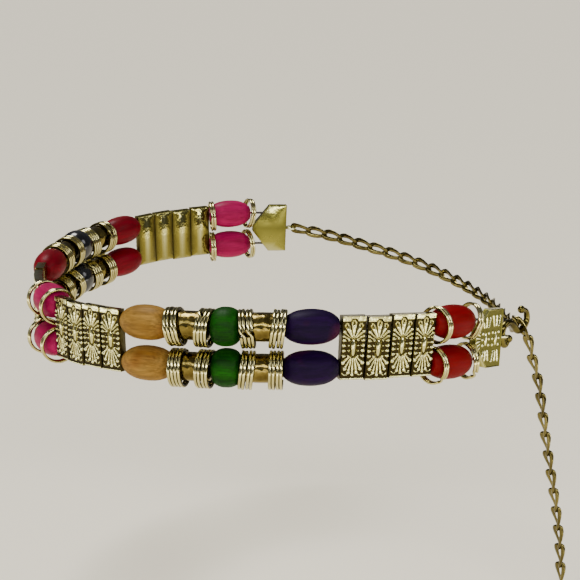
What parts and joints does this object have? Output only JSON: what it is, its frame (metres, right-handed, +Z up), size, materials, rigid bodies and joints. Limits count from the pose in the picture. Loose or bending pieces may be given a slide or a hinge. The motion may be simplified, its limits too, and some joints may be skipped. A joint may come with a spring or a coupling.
{
  "type": "beaded belt",
  "caption": "Waist belt with two rows of stained wooden beads strung through gold cast bars, split rings, an S-hook and a curb chain with a hanging end.",
  "frame": {"origin": "centre of the waist opening, at the height of the middle line between the two rows in front", "axes": "+Z up, -Y to the front of the wearer, +X to the viewer's right, where the hook is"},
  "size_m": [0.2909, 0.2769, 0.183],
  "materials": {
    "gold": "pale champagne gold plating, polished, darker in the recesses",
    "string": "dark waxed cord",
    "wood_red": "red stained wood, satin",
    "wood_purple": "dark purple stained wood, satin",
    "wood_green": "green stained wood, satin with faint rings",
    "wood_amber": "honey coloured natural wood with fine streaky grain, satin",
    "wood_pink": "magenta pink stained wood, satin",
    "wood_maroon": "dark red stained wood, satin",
    "wood_black": "black lacquered wood, glossy"
  },
  "bodies": {
    "root": {"hook_plate": "gold", "chain_plate": "gold", "hook": "gold", "chain": "gold", "bar_1": "gold", "bar_2": "gold", "bar_3": "gold", "bar_4": "gold", "bar_5": "gold", "bar_6": "gold", "bar_7": "gold", "bar_8": "gold", "bar_9": "gold", "bar_10": "gold", "bar_11": "gold", "bar_12": "gold", "bar_13": "gold", "bar_14": "gold", "bar_15": "gold", "bar_16": "gold", "upper_string": "string", "upper_ring_1": "gold", "upper_ring_2": "gold", "upper_ring_3": "gold", "upper_ring_4": "gold", "upper_ring_5": "gold", "upper_ring_6": "gold", "upper_drum_1": "gold", "upper_drum_2": "gold", "upper_drum_3": "gold", "upper_drum_4": "gold", "upper_oval_1": "wood_red", "upper_oval_2": "wood_purple", "upper_oval_3": "wood_amber", "upper_oval_4": "wood_pink", "upper_oval_5": "wood_maroon", "upper_oval_6": "wood_maroon", "upper_oval_7": "wood_pink", "upper_round_1": "wood_green", "upper_round_2": "wood_black", "lower_string": "string", "lower_ring_1": "gold", "lower_ring_2": "gold", "lower_ring_3": "gold", "lower_ring_4": "gold", "lower_ring_5": "gold", "lower_ring_6": "gold", "lower_drum_1": "gold", "lower_drum_2": "gold", "lower_drum_3": "gold", "lower_drum_4": "gold", "lower_oval_1": "wood_red", "lower_oval_2": "wood_purple", "lower_oval_3": "wood_amber", "lower_oval_4": "wood_pink", "lower_oval_5": "wood_maroon", "lower_oval_6": "wood_maroon", "lower_oval_7": "wood_pink", "lower_round_1": "wood_green", "lower_round_2": "wood_black"}
  },
  "joints": []
}
